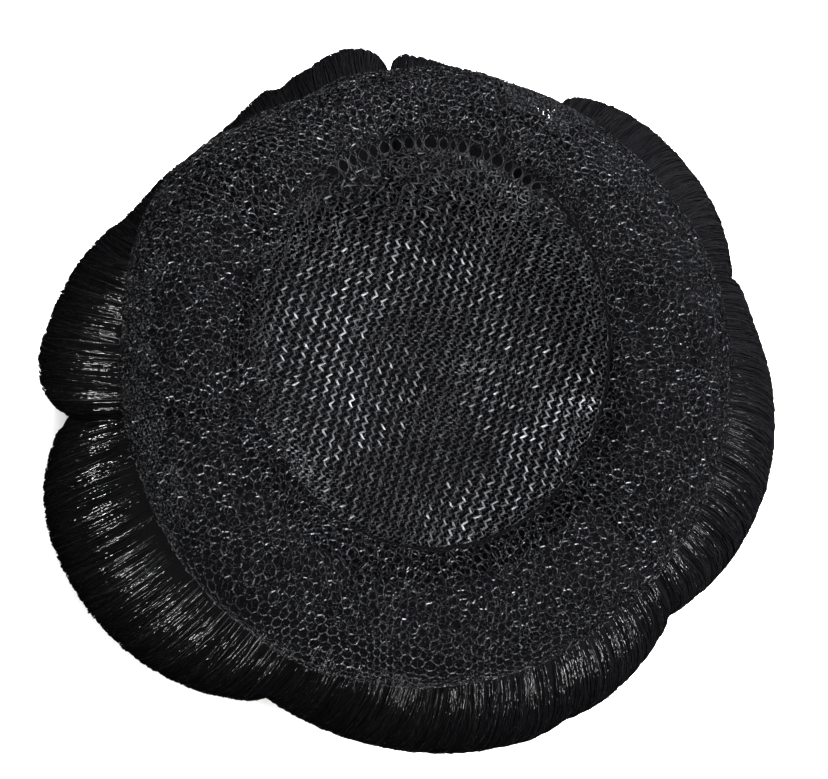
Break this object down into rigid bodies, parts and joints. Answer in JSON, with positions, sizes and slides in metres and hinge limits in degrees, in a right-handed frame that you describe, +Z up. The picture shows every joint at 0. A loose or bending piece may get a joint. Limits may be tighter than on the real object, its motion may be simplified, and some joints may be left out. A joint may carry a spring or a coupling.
{
  "type": "hair bun piece",
  "caption": "Flower-shaped false hair bun: loops of black synthetic hair round a hollow middle, closed at the back by a puffed net cover and a flat net panel.",
  "frame": {"origin": "on the surface that the bun lies on, under the middle of its outline", "axes": "+Z up, out of the net side that lies against the head in use; +Y towards the top of the picture, +X to its right"},
  "size_m": [0.1544, 0.1472, 0.0601],
  "materials": {
    "hair": "smooth synthetic hair fibre with a soft band of shine",
    "net": "doubled hexagonal hair net",
    "panel_net": "doubled hexagonal hair net, stretched flat",
    "cord": "matt twisted yarn"
  },
  "bodies": {
    "root": {"petal_right": "hair", "petal_upper_right": "hair", "petal_top": "hair", "petal_upper_left": "hair", "petal_left": "hair", "petal_lower_left": "hair", "petal_bottom": "hair", "net_cover": "net", "net_panel": "panel_net", "seam_cord": "cord"}
  },
  "joints": []
}
